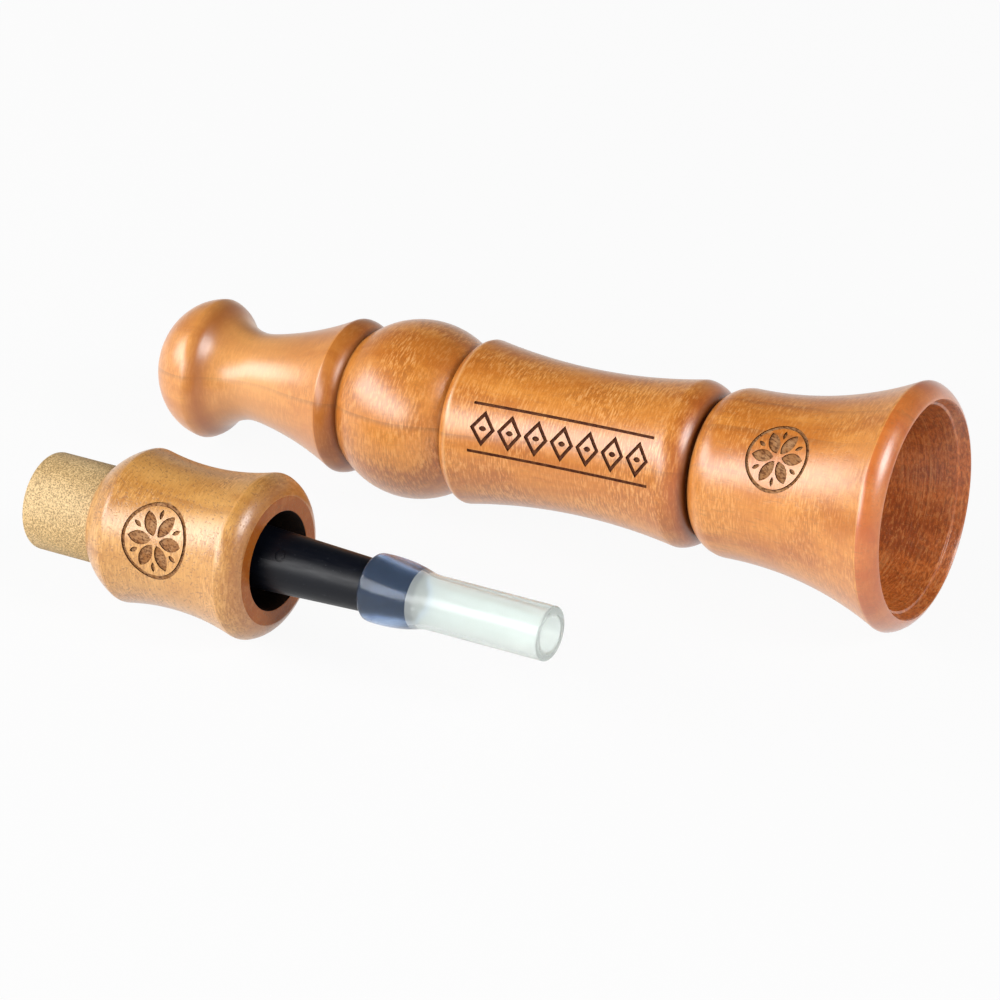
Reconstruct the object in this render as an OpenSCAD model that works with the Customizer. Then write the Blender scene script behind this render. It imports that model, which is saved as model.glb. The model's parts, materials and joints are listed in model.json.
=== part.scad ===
// Turned wooden predator call with a pull-off bell, and its second voice head lying beside it.
// Each piece is drawn along its own turning axis and then laid on the table, bell end towards +X.

/* [Call body] */
// Length of the call from the knob's tip to the bell's mouth
call_len = 145.5; // [143:0.5:150]
// Diameter of the knob at its ridge
knob_d = 24.7; // [23:0.1:26]
// Length of the knob's dome, from the tip to the ridge
knob_len = 9.8; // [8:0.1:10.5]
// Diameter where the neck passes into the cone
neck_d = 15.8; // [14:0.1:17]
// Distance from the tip to that point of the neck
neck_at = 20.6; // [19.5:0.1:22]
// Diameter of the cone's edge
cone_d = 27; // [25:0.1:28]
// Distance from the tip to the cone's edge
cone_at = 37.4; // [35.5:0.1:38.5]
// Diameter of the ball
ball_d = 30.9; // [29:0.1:31.2]
// Distance from the tip to the ball's centre
ball_at = 51; // [50.5:0.1:51.5]
// Diameter at the bottom of the grooves beside the ball
groove_d = 23; // [20:0.5:25]
// Diameter of the barrel's two edges
barrel_d = 28.5; // [27:0.1:29]
// Diameter of the barrel's waist
waist_d = 24.8; // [23.5:0.1:26]
// Distance from the tip to the barrel's first edge
barrel_at = 63.4; // [62.5:0.1:64.5]
// Distance between the barrel's two edges
barrel_len = 40; // [38:0.1:41]
// Length of the rounded end after the barrel's second edge
barrel_end_len = 3.9; // [3:0.1:4.4]
// Diameter of the mouth hole and the air way behind it
air_d = 6; // [5:0.5:7]
// Diameter of the air chamber in the barrel
chamber_d = 12; // [10:0.5:13]

/* [Bell] */
// Diameter of the bell's edge
bell_d = 41.9; // [40:0.1:43]
// Diameter of the bell's shoulder
bell_shoulder_d = 28.6; // [27:0.1:29]
// Length of the rounded shoulder
bell_shoulder_len = 4.1; // [3:0.1:4.5]
// Length of the rounded rim in front of the bell's edge
rim_len = 3.2; // [2.8:0.1:5]
// Diameter of the mouth at the crest of the rim
mouth_d = 36.6; // [35:0.1:38]
// Depth of the bell's hollow
bell_depth = 24; // [22:0.5:25]
// Diameter of the hollow at its floor
bell_floor_d = 19.2; // [18:0.2:21]
// Gap between the barrel's end and the bell's shoulder
joint_gap = 0.6; // [0.4:0.1:1]

/* [Tenon and socket] */
// Diameter of the tenons on both heads
tenon_d = 16.6; // [16:0.1:17]
// Radial room between a tenon and the socket
tenon_room = 0.05; // [0.03:0.01:0.1]
// Length of the bell's tenon
tenon_len = 12; // [10:0.5:12]
// Diameter of the bore that holds a reed tube
seat_d = 11; // [10.6:0.1:11.2]

/* [Voice holder] */
// Length of the holder from the tenon's end to the ring face
holder_len = 45.6; // [45:0.1:46.5]
// Length of the holder's bare tenon
holder_tenon_len = 14.1; // [13:0.1:14.5]
// Distance from the tenon's end to the first edge
holder_edge_at = 19.3; // [18.5:0.1:20]
// Diameter of the first edge
holder_edge_d = 26.2; // [25:0.1:27]
// Distance from the tenon's end to the rim's edge
holder_rim_at = 42.2; // [41.5:0.1:42.8]
// Diameter of the rim's edge
holder_rim_d = 28; // [27:0.1:29]
// Diameter of the flat ring face
ring_face_d = 21.6; // [20.5:0.1:22.5]
// Depth of the recess round the reed tube
recess_depth = 13; // [11:0.5:14]

/* [Reed units] */
// Length of the voice head's reed tube past its seat
voice_tube_len = 40.2; // [36:0.1:42]
// Length of the bell's reed tube past its seat
bell_tube_len = 12; // [8:0.5:14]
// Diameter of a reed tube just past its collar
tube_root_d = 11.4; // [11.2:0.1:11.8]
// Lessening of a reed tube's diameter for each millimetre of length
tube_taper = 0.085; // [0.07:0.001:0.09]
// Length of a reed tube's plug in its seat
plug_len = 8; // [7:0.5:9]
// Diameter of a reed tube's outlet
outlet_d = 5.2; // [4.6:0.1:5.6]
// Diameter of the round hole that holds the tone board, the reed and its wedge
reed_hole_d = 7; // [6.6:0.1:7.4]
// Length of a tone board
board_len = 24; // [22:0.5:25]
// Width of a reed
reed_w = 4.2; // [3.6:0.1:4.6]
// Thickness of a reed
reed_t = 0.2; // [0.15:0.05:0.25]
// Slope of a tone board's face under the free reed, in degrees
board_slope = 2.7; // [2.6:0.1:3.2]

/* [Tuning sleeve] */
// Outside diameter of the sleeve where it is relaxed
sleeve_d = 9; // [8.6:0.1:9.4]
// Inside diameter of the sleeve where it is relaxed
sleeve_bore_d = 6; // [5.4:0.1:6.4]
// Outside diameter of the sleeve where the tube stretches it
sleeve_stretch_d = 11.3; // [11:0.1:11.6]
// Length of the sleeve
sleeve_len = 32.9; // [30:0.1:38]
// Length of the sleeve that covers the tube
sleeve_lap = 8.9; // [7.5:0.1:10]

/* [Layout] */
// Distance between the two turning axes, seen from above
axis_spacing = 54.2; // [50:0.1:60]
// How far the holder's rim edge lies from the knob's tip along the table
holder_offset = 51.7; // [45:0.1:60]
// Turn of the voice head on the table, in degrees
holder_turn = -2.2; // [-5:0.1:5]

/* [Hidden] */
$fn = 96;

cherry = [0.76, 0.50, 0.27];
pale_cherry = [0.83, 0.63, 0.40];
black_plastic = [0.09, 0.09, 0.10];
board_plastic = [0.20, 0.20, 0.21];
reed_brass = [0.80, 0.64, 0.30];
cork = [0.72, 0.53, 0.34];
milky_silicone = [0.88, 0.90, 0.86];

// Room between two fitted pieces of one reed unit
fit_room = 0.02;
// Distance from the reed's middle to the board and the wedge that hold its root
reed_clear = reed_t / 2 + 0.15;
// Room behind the longer tenon in the socket
socket_room = 0.4;
// Width of the small chamfers on edges
chamfer = 0.7;
// How far the rounded shoulders and rims stand out from the straight line between their ends
shoulder_rise = 0.5;
holder_rise = 0.85;
// How far the hollow stretches fall back from the straight line between their ends
neck_hollow = 1.4;
cone_hollow = 0.65;
bell_hollow = 1.9;
holder_hollow = 1.4;

socket_d = tenon_d + 2 * tenon_room;
barrel_edge_2 = barrel_at + barrel_len;
barrel_face_at = barrel_edge_2 + barrel_end_len;
barrel_face_d = barrel_d - 4.7;
bell_face_at = barrel_face_at + joint_gap;
bell_face_d = bell_shoulder_d - 4.9;
bell_edge_at = call_len - rim_len;
bell_floor_at = call_len - bell_depth;
bell_tenon_at = bell_face_at - tenon_len;
socket_floor_at = barrel_face_at - holder_tenon_len - socket_room;
chamber_at = barrel_at + 4;
holder_floor_at = holder_len - recess_depth;
groove_reach = sqrt(pow(ball_d / 2, 2) - pow(groove_d / 2, 2));

// The call rests on its bell's edge and on its ball, which tilts it
reach = bell_edge_at - ball_at;
call_tilt = atan2(bell_d / 2, reach) - asin(ball_d / 2 / norm([reach, bell_d / 2]));
call_z = ball_d / 2 - ball_at * sin(call_tilt);
call_span = call_len * cos(call_tilt) + mouth_d / 2 * sin(call_tilt);
call_x = -call_span / 2;
call_y = (axis_spacing + holder_rim_d / 2 - bell_d / 2) / 2;

// The voice holder rests on its two edges
holder_tilt = atan2((holder_rim_d - holder_edge_d) / 2, holder_rim_at - holder_edge_at);
holder_x = call_x + holder_offset;
holder_y = call_y - axis_spacing;
holder_z = holder_rim_d / 2 * cos(holder_tilt);

// Points of an arc from p to q that stands out by the given rise, to the right of the way
// from p to q; the last point is left for the next stretch to begin with
function bow(p, q, rise, steps = 12) =
    let (
        way = q - p,
        half = norm(way) / 2,
        right = [way.y, -way.x] / norm(way),
        radius = (half * half + rise * rise) / (2 * abs(rise)),
        centre = (p + q) / 2 + right * (rise - sign(rise) * radius),
        from = atan2(p.y - centre.y, p.x - centre.x),
        sweep = 2 * asin(half / radius) * sign(rise)
    )
    [for (i = [0 : steps - 1]) centre + radius * [
        cos(from + sweep * i / steps),
        sin(from + sweep * i / steps)
    ]];

// Points of the knob's dome, from the rim of the mouth hole to just before the ridge
function dome(first_r, steps = 16) =
    let (first = asin(first_r / (knob_d / 2)))
    [for (i = [0 : steps - 1])
        let (a = first + (90 - first) * i / steps)
        [knob_d / 2 * sin(a), knob_len * (1 - cos(a))]
    ];

// Points of the ball, from its first groove to just before its second
function ball(steps = 20) =
    let (first = asin(groove_reach / (ball_d / 2)))
    [for (i = [0 : steps - 1])
        let (a = first * (2 * i / steps - 1))
        [ball_d / 2 * cos(a), ball_at + ball_d / 2 * sin(a)]
    ];

// Radius of a reed tube at a distance from its seat
function tube_r_at(along) = (tube_root_d - tube_taper * along) / 2;

// A turned piece from its outline of [radius, place along the axis]
module turned(outline) {
    rotate_extrude() polygon(outline);
}

// Lays a piece of the call on the table
module lay_call(along = 0) {
    translate([call_x, call_y, call_z])
        rotate([0, 90 - call_tilt, 0])
            translate([0, 0, along])
                children();
}

// Lays a piece of the voice head on the table
module lay_voice(along = 0) {
    translate([holder_x, holder_y, holder_z])
        rotate([0, 90 - holder_tilt, holder_turn])
            translate([0, 0, along - holder_rim_at])
                children();
}

// Handle and barrel, turned in one piece and bored from both ends
module call_body() {
    air = air_d / 2;
    lip = air + chamfer;
    knob_rise = 0.3;
    knob_back = [knob_d / 2 - 1, knob_len + 2];
    neck = [neck_d / 2, neck_at];
    groove_1 = [groove_d / 2, ball_at - groove_reach];
    groove_2 = [groove_d / 2, ball_at + groove_reach];
    edge_1 = [barrel_d / 2, barrel_at];
    edge_2 = [barrel_d / 2, barrel_edge_2];
    color(cherry) lay_call() turned(concat(
        dome(lip),
        bow([knob_d / 2, knob_len], knob_back, knob_rise, 6),
        bow(knob_back, neck, -neck_hollow, 16),
        bow(neck, [cone_d / 2, cone_at], -cone_hollow),
        bow([cone_d / 2, cone_at], groove_1, shoulder_rise, 6),
        ball(),
        bow(groove_2, edge_1, shoulder_rise, 6),
        bow(edge_1, edge_2, (waist_d - barrel_d) / 2, 20),
        bow(edge_2, [barrel_face_d / 2, barrel_face_at], shoulder_rise, 8),
        [
            [barrel_face_d / 2, barrel_face_at],
            [socket_d / 2 + chamfer, barrel_face_at],
            [socket_d / 2, barrel_face_at - chamfer],
            [socket_d / 2, socket_floor_at],
            [chamber_d / 2, socket_floor_at],
            [chamber_d / 2, chamber_at],
            [air, chamber_at - chamber_d / 2 + air],
            [air, 2 * chamfer]
        ]
    ));
}

// Flared bell with its tenon
module bell() {
    shoulder = [bell_shoulder_d / 2, bell_face_at + bell_shoulder_len];
    edge = [bell_d / 2, bell_edge_at];
    crest = [mouth_d / 2, call_len];
    lip_w = 1.1;
    lip_depth = 1.3;
    step = [0.3, 0.1];
    color(cherry) lay_call() turned(concat(
        [
            [seat_d / 2, bell_tenon_at],
            [tenon_d / 2 - chamfer, bell_tenon_at],
            [tenon_d / 2, bell_tenon_at + chamfer],
            [tenon_d / 2, bell_face_at]
        ],
        bow([bell_face_d / 2, bell_face_at], shoulder, shoulder_rise, 8),
        bow(shoulder, edge, -bell_hollow, 20),
        bow(edge, crest, shoulder_rise, 8),
        [
            crest,
            crest - [lip_w, lip_depth],
            crest - [lip_w, lip_depth] - step,
            [bell_floor_d / 2, bell_floor_at],
            [seat_d / 2, bell_floor_at]
        ]
    ));
}

// Holder of the second voice, with its bare tenon and the recess round the reed tube
module voice_holder() {
    edge = [holder_edge_d / 2, holder_edge_at];
    rim = [holder_rim_d / 2, holder_rim_at];
    tenon_rise = 0.2;
    tenon_step = 1.3;
    color(pale_cherry) lay_voice() turned(concat(
        [[seat_d / 2, 0]],
        bow([tenon_d / 2 - chamfer, 0], [tenon_d / 2, chamfer], tenon_rise, 4),
        [
            [tenon_d / 2, chamfer],
            [tenon_d / 2, holder_tenon_len]
        ],
        bow([tenon_d / 2 + tenon_step, holder_tenon_len], edge, holder_rise, 10),
        bow(edge, rim, -holder_hollow, 20),
        bow(rim, [ring_face_d / 2, holder_len], holder_rise, 10),
        [
            [ring_face_d / 2, holder_len],
            [socket_d / 2, holder_len],
            [socket_d / 2, holder_floor_at],
            [seat_d / 2, holder_floor_at]
        ]
    ));
}

// Tapered reed tube: plug, collar and outlet; its seat's floor is at zero
module reed_tube(length) {
    plug_r = seat_d / 2 - tenon_room;
    edge = 0.3;
    seat_gap = 0.1;
    collar_r = tube_root_d / 2 + 1.2;
    collar_len = 1.6;
    tip_r = tube_r_at(length);
    color(black_plastic) turned([
        [reed_hole_d / 2, -plug_len],
        [plug_r - edge, -plug_len],
        [plug_r, edge - plug_len],
        [plug_r, seat_gap],
        [collar_r, seat_gap],
        [collar_r, collar_len],
        [tube_r_at(collar_len), collar_len],
        [tip_r, length - edge],
        [tip_r - edge, length],
        [outlet_d / 2, length],
        [outlet_d / 2, 0],
        [reed_hole_d / 2, 0]
    ]);
}

// Half-round board whose face falls away under the free reed, with its air channel
module tone_board() {
    fall = (board_len - plug_len) * tan(board_slope);
    channel_w = 2.4;
    channel_len = board_len - 2.5;
    past = 1;
    color(board_plastic) difference() {
        translate([0, 0, -board_len])
            cylinder(d = reed_hole_d - 2 * fit_room, h = board_len);
        rotate([90, 0, 0]) linear_extrude(2 * reed_hole_d, center = true) polygon([
            [reed_clear, past],
            [reed_clear, -plug_len],
            [reed_clear + fall, -board_len],
            [reed_clear + fall, -board_len - past],
            [-reed_hole_d, -board_len - past],
            [-reed_hole_d, past]
        ]);
        translate([0, -channel_w / 2, -channel_len])
            cube([channel_w, channel_w, channel_len + past]);
    }
}

// Thin springy tongue with a round tip
module reed() {
    root_len = 2.5;
    root_at = plug_len - root_len;
    tip_at = board_len - 1 - reed_w / 2;
    color(reed_brass) translate([-reed_t / 2, 0, 0])
        rotate([0, 90, 0])
            linear_extrude(reed_t) {
                translate([root_at, -reed_w / 2]) square([tip_at - root_at, reed_w]);
                translate([tip_at, 0]) circle(d = reed_w);
            }
}

// Half-round wedge that holds the reed's root to the board
module reed_wedge() {
    wedge_len = plug_len - 0.5;
    color(cork) difference() {
        translate([0, 0, -wedge_len]) cylinder(d = reed_hole_d - 2 * fit_room, h = wedge_len);
        translate([-reed_clear, -reed_hole_d, -plug_len])
            cube([reed_hole_d, 2 * reed_hole_d, 2 * plug_len]);
    }
}

module bell_reed_tube() { lay_call(bell_floor_at) reed_tube(bell_tube_len); }
module bell_tone_board() { lay_call(bell_floor_at) tone_board(); }
module bell_reed() { lay_call(bell_floor_at) reed(); }
module bell_reed_wedge() { lay_call(bell_floor_at) reed_wedge(); }
module voice_reed_tube() { lay_voice(holder_floor_at) reed_tube(voice_tube_len); }
module voice_tone_board() { lay_voice(holder_floor_at) tone_board(); }
module voice_reed() { lay_voice(holder_floor_at) reed(); }
module voice_reed_wedge() { lay_voice(holder_floor_at) reed_wedge(); }

// Soft sleeve, stretched over the tube's end and necking down to its relaxed size
module tuning_sleeve() {
    room = 0.04;
    edge = 0.4;
    start = voice_tube_len - sleeve_lap;
    end = start + sleeve_len;
    swell = [sleeve_stretch_d / 2, start + edge];
    turning = [(sleeve_stretch_d + sleeve_d) / 4, voice_tube_len - 0.3];
    slack = [sleeve_d / 2, voice_tube_len + 3.6];
    swell_rise = 0.3;
    slack_rise = 0.2;
    tip_r = tube_r_at(voice_tube_len) + room;
    color(milky_silicone) lay_voice(holder_floor_at) turned(concat(
        [
            [tube_r_at(start) + room, start],
            swell - [edge, edge]
        ],
        bow(swell, turning, swell_rise, 8),
        bow(turning, slack, -slack_rise, 8),
        [
            slack,
            [sleeve_d / 2, end],
            [sleeve_bore_d / 2, end],
            [sleeve_bore_d / 2, slack.y],
            [tip_r, voice_tube_len + edge],
            [tip_r, voice_tube_len]
        ]
    ));
}

call_body();
bell();
bell_reed_tube();
bell_tone_board();
bell_reed();
bell_reed_wedge();
voice_holder();
voice_reed_tube();
voice_tone_board();
voice_reed();
voice_reed_wedge();
tuning_sleeve();
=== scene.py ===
"""Turned wooden predator call with a pull-off bell, and its second voice head lying beside it."""
import json
import math

import bmesh
import bpy
from bpy.props import FloatProperty, FloatVectorProperty, PointerProperty
from mathutils import Matrix, Vector


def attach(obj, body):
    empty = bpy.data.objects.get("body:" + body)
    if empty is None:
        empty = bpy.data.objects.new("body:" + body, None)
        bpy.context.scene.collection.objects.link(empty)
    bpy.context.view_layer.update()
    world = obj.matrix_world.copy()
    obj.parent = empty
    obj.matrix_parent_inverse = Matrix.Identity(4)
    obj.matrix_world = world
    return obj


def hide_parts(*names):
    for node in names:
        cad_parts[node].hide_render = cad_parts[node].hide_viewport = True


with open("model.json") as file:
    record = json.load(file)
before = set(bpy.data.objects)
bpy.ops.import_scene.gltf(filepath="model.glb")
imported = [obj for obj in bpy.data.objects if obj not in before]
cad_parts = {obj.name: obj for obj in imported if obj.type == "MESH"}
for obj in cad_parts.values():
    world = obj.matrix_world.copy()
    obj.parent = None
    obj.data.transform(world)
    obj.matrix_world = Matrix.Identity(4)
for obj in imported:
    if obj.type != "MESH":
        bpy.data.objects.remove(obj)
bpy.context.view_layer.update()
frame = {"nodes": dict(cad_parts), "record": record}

bl_info = {
    "name": "Predator call",
    "version": (1, 0, 0),
    "blender": (4, 5, 0),
    "location": "3D View > Sidebar > Predator call",
    "description": "Models and finishes a turned predator call and its second voice head",
    "category": "Object",
}

MM = 0.001


# Settings that a user may change

def size(name, description, millimetres):
    """A length, given in millimetres."""
    return FloatProperty(
        name=name,
        description=description,
        default=millimetres * MM,
        unit="LENGTH",
        precision=5,
    )


def angle(name, description, degrees):
    """An angle, given in degrees."""
    return FloatProperty(name=name, description=description, default=math.radians(degrees), subtype="ANGLE")


def share(name, description, value):
    """A number without a unit."""
    return FloatProperty(name=name, description=description, default=value)


def linear(value):
    """A screen value from 0 to 255 as linear light."""
    value /= 255
    return value / 12.92 if value <= 0.04045 else ((value + 0.055) / 1.055) ** 2.4


def tint(name, description, red, green, blue):
    """A colour, given by its screen values."""
    return FloatVectorProperty(
        name=name,
        description=description,
        subtype="COLOR",
        min=0,
        max=1,
        default=(linear(red), linear(green), linear(blue)),
    )


class CallBodySizes(bpy.types.PropertyGroup):
    knob_diameter: size("Knob", "Diameter of the knob at its ridge", 24.7)
    knob_length: size("Knob length", "Length of the knob's dome, from the tip to the ridge", 9.8)
    neck_diameter: size("Neck", "Diameter where the neck passes into the cone", 15.8)
    neck_place: size("Neck place", "Distance from the tip to that point of the neck", 20.6)
    cone_diameter: size("Cone", "Diameter of the cone's edge", 27)
    cone_place: size("Cone place", "Distance from the tip to the cone's edge", 37.4)
    ball_diameter: size("Ball", "Diameter of the ball", 30.9)
    ball_place: size("Ball place", "Distance from the tip to the ball's centre", 51)
    groove_diameter: size("Grooves", "Diameter at the bottom of the grooves beside the ball", 23)
    barrel_diameter: size("Barrel", "Diameter of the barrel's two edges", 28.5)
    waist_diameter: size("Waist", "Diameter of the barrel's waist", 24.8)
    barrel_place: size("Barrel place", "Distance from the tip to the barrel's first edge", 63.4)
    barrel_length: size("Barrel length", "Distance between the barrel's two edges", 40)
    barrel_end: size("Barrel end", "Length of the rounded end after the second edge", 3.9)
    face_diameter: size("Barrel face", "Diameter of the flat face at the barrel's end", 23.8)
    air_diameter: size("Air way", "Diameter of the mouth hole and the air way", 6)
    chamber_diameter: size("Chamber", "Diameter of the air chamber in the barrel", 12)
    socket_diameter: size("Socket", "Diameter of the socket for the tenons", 16.7)
    socket_place: size("Socket floor", "Distance from the tip to the socket's floor", 92.8)
    band_place: size("Band place", "Distance from the tip to the carved band's middle", 84.6)
    band_turn: angle("Band turn", "How far round from the top the carved band lies", 65)
    band_length: size("Band length", "Length of the carved band", 34)
    band_height: size("Band height", "Height of the carved band", 8.6)


class BellSizes(bpy.types.PropertyGroup):
    tenon_diameter: size("Tenon", "Diameter of the tenon", 16.6)
    tenon_length: size("Tenon length", "Length of the tenon", 12)
    face_place: size("Face place", "Distance from the knob's tip to the shoulder's face", 107.9)
    face_diameter: size("Face", "Diameter of the shoulder's flat face", 23.7)
    shoulder_diameter: size("Shoulder", "Diameter of the shoulder", 28.6)
    shoulder_length: size("Shoulder length", "Length of the rounded shoulder", 4.1)
    edge_diameter: size("Edge", "Diameter of the bell's edge", 41.9)
    rim_length: size("Rim length", "Length of the rounded rim in front of the edge", 3.2)
    mouth_diameter: size("Mouth", "Diameter of the mouth at the crest of the rim", 36.6)
    mouth_place: size("Mouth place", "Distance from the knob's tip to the mouth", 145.5)
    hollow_depth: size("Hollow depth", "Depth of the hollow", 24)
    floor_diameter: size("Hollow floor", "Diameter of the hollow at its floor", 19.2)
    seat_diameter: size("Seat", "Diameter of the bore that holds the reed tube", 11)
    rosette_place: size("Rosette place", "Distance from the knob's tip to the rosette's centre", 124.2)
    rosette_turn: angle("Rosette turn", "How far round from the top the rosette lies", 46)
    rosette_diameter: size("Rosette", "Diameter of the carved rosette", 11.6)


class HolderSizes(bpy.types.PropertyGroup):
    tenon_diameter: size("Tenon", "Diameter of the bare tenon", 16.6)
    tenon_length: size("Tenon length", "Length of the bare tenon", 14.1)
    tenon_step: size("Tenon step", "Height of the step from the tenon to the shoulder", 1.3)
    edge_diameter: size("First edge", "Diameter of the first edge", 26.2)
    edge_place: size("First edge place", "Distance from the tenon's end to the first edge", 19.3)
    rim_diameter: size("Rim", "Diameter of the rim's edge", 28)
    rim_place: size("Rim place", "Distance from the tenon's end to the rim's edge", 42.2)
    length: size("Length", "Length from the tenon's end to the ring face", 45.6)
    face_diameter: size("Ring face", "Diameter of the flat ring face", 21.6)
    recess_diameter: size("Recess", "Diameter of the recess round the reed tube", 16.7)
    recess_depth: size("Recess depth", "Depth of the recess", 13)
    seat_diameter: size("Seat", "Diameter of the bore that holds the reed tube", 11)
    rosette_place: size("Rosette place", "Distance from the tenon's end to the rosette's centre", 29.3)
    rosette_turn: angle("Rosette turn", "How far round from the top the rosette lies", 66)
    rosette_diameter: size("Rosette", "Diameter of the carved rosette", 12.6)


class ReedTubeSizes(bpy.types.PropertyGroup):
    voice_length: size("Voice tube", "Length of the voice head's tube past its seat", 40.2)
    bell_length: size("Bell tube", "Length of the bell's tube past its seat", 12)
    root_diameter: size("Root", "Diameter of a tube just past its collar", 11.4)
    taper: share("Taper", "Lessening of the diameter for each unit of length", 0.085)
    plug_length: size("Plug length", "Length of the plug in its seat", 8)
    plug_diameter: size("Plug", "Diameter of the plug in its seat", 10.9)
    collar_diameter: size("Collar", "Diameter of the collar at the seat", 13.8)
    collar_length: size("Collar length", "Length of the collar", 1.6)
    outlet_diameter: size("Outlet", "Diameter of the outlet", 5.2)
    reed_hole_diameter: size("Reed hole", "Diameter of the hole that holds the reed", 7)
    mark_place: size("Mark place", "Distance from the seat to the moulded mark", 16.1)
    mark_turn: angle("Mark turn", "How far round from the top the moulded mark lies", 46)
    mark_diameter: size("Mark", "Diameter of the moulded mark", 2.1)


class SleeveSizes(bpy.types.PropertyGroup):
    diameter: size("Relaxed", "Outside diameter where the sleeve is relaxed", 9)
    bore_diameter: size("Bore", "Inside diameter where the sleeve is relaxed", 6)
    stretch_diameter: size("Stretched", "Outside diameter where the tube stretches the sleeve", 11.3)
    length: size("Length", "Length of the sleeve", 32.9)
    lap: size("Lap", "Length of the sleeve that covers the tube", 8.9)
    slack_place: size("Slack", "Distance from the tube's end to where the sleeve is relaxed", 3.6)


class FinishColours(bpy.types.PropertyGroup):
    cherry_pale: tint("Cherry, pale", "Early wood of the call", 224, 145, 60)
    cherry_deep: tint("Cherry, deep", "Late wood of the call", 196, 113, 34)
    # End grain: darker ends, also laid over the barrel's end as painted shade
    end_grain_and_shade: tint("End grain", "Ends, where the oil soaks in, with painted shade", 168, 68, 14)
    rim_pale: tint("Rim, pale", "Early wood of the bell's rim", 214, 120, 48)
    rim_deep: tint("Rim, deep", "Late wood of the bell's rim", 198, 98, 30)
    # The shoulder colours are painted shade: darker wood for the cone's shoulder and the knob's back, which
    # face away from the key light
    shoulder_painted_shade_pale: tint("Shoulder, pale", "Early wood of the cone's shoulder, darkened as painted shade", 192, 118, 48)
    shoulder_painted_shade_deep: tint("Shoulder, deep", "Late wood of the cone's shoulder, darkened as painted shade", 170, 94, 30)
    hollow_pale: tint("Hollow, pale", "Early wood inside the bell", 210, 112, 44)
    hollow_deep: tint("Hollow, deep", "Late wood inside the bell", 168, 78, 24)
    fruit_pale: tint("Head, pale", "Early wood of the voice head", 217, 161, 87)
    fruit_deep: tint("Head, deep", "Late wood of the voice head", 194, 133, 60)
    ring_face: tint("Ring face", "End grain round the head's recess", 156, 80, 24)
    bare_pale: tint("Bare wood, pale", "Early wood of the bare tenons", 210, 180, 131)
    bare_deep: tint("Bare wood, deep", "Late wood of the bare tenons", 194, 160, 106)
    # Painted shade, laid into the grooves and into the joint between barrel and bell
    groove: tint("Grooves", "Painted shade in the grooves and at the joint", 82, 40, 16)
    # Painted highlight on edges, and painted light over the knob and neck
    painted_highlight: tint("Painted highlight", "Painted highlight on edges, and painted light over the knob and neck", 240, 182, 118)
    scorched: tint("Scorched", "Floor of the carved rosettes", 150, 98, 52)
    charred: tint("Charred", "Walls and lines of the carving", 72, 30, 10)
    # Painted shade: the recess wall lies only in shade, and is painted near black
    recess: tint("Recess", "Wall of the recess round the reed tube", 34, 20, 14)
    black_plastic: tint("Black plastic", "Reed tubes", 6, 9, 18)
    board_plastic: tint("Board plastic", "Tone boards", 66, 66, 70)
    brass: tint("Brass", "Reeds", 222, 186, 112)
    cork: tint("Cork", "Wedges", 196, 152, 104)
    silicone: tint("Silicone", "Tuning sleeve", 243, 250, 247)
    table: tint("Table", "Floor under the object", 190, 190, 190)


class StageSettings(bpy.types.PropertyGroup):
    azimuth: angle("Azimuth", "Turn of the camera round the object", 28.695)
    elevation: angle("Elevation", "Height of the camera above the horizon", 29.352)
    distance: size("Distance", "Distance from the camera to the point that it looks at", 730.3)
    lens: FloatProperty(name="Lens", description="Focal length of the camera", default=162, unit="CAMERA")
    key: FloatProperty(name="Key light", description="Power of the front light", default=14.6, unit="POWER")
    side: FloatProperty(name="Side light", description="Power of the right light", default=3.4, unit="POWER")
    horizon: share("Horizon", "Light from the walls of the studio", 0.45)
    ceiling: share("Ceiling", "Light from the ceiling of the studio", 0.06)


class PredatorCallSettings(bpy.types.PropertyGroup):
    call_body: PointerProperty(type=CallBodySizes)
    bell: PointerProperty(type=BellSizes)
    holder: PointerProperty(type=HolderSizes)
    tubes: PointerProperty(type=ReedTubeSizes)
    sleeve: PointerProperty(type=SleeveSizes)
    colours: PointerProperty(type=FinishColours)
    stage: PointerProperty(type=StageSettings)


# Turning axes

class Lathe:
    """A turning axis: where it starts, the way along it, and the ways up and aside from it."""

    def __init__(self, mount_name, mount_place):
        mount = next(m for m in frame["record"]["mounts"] if m["name"] == mount_name)
        self.along = -Vector(mount["axis"]).normalized()
        self.start = Vector(mount["pos_m"]) - mount_place * self.along
        self.side = self.along.cross(Vector((0, 0, 1))).normalized()
        self.up = self.side.cross(self.along)

    def out(self, turn):
        """The way straight out from the axis, turned from the top towards the front."""
        return self.up * math.cos(turn) + self.side * math.sin(turn)

    def point(self, radius, place, turn=0.0):
        return self.start + self.along * place + self.out(turn) * radius

    def measure(self, point):
        """The place along the axis of a point, and its offset from the axis."""
        offset = point - self.start
        place = offset.dot(self.along)
        return place, offset - self.along * place

    def rotation(self):
        """The turn that lays X along the axis and Z upwards."""
        return Matrix((self.along, -self.side, self.up)).transposed()

    def seat(self, radius, place, turn):
        """Matrix of a flat pattern on the turned surface: X along the axis, Z outwards."""
        out = self.out(turn)
        turned = Matrix((self.along, out.cross(self.along), out)).transposed().to_4x4()
        turned.translation = self.point(radius, place, turn)
        return turned


MOUTH_HOLE_PLACE = 30 * MM
HOLDER_TENON_PLACE = 7.4 * MM
CALL = Lathe("mouth_hole", MOUTH_HOLE_PLACE)
VOICE = Lathe("holder_tenon", HOLDER_TENON_PLACE)


# Outlines of turned pieces, as points of (radius, place along the axis)

OUTLINE_STEP = 0.35 * MM


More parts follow.
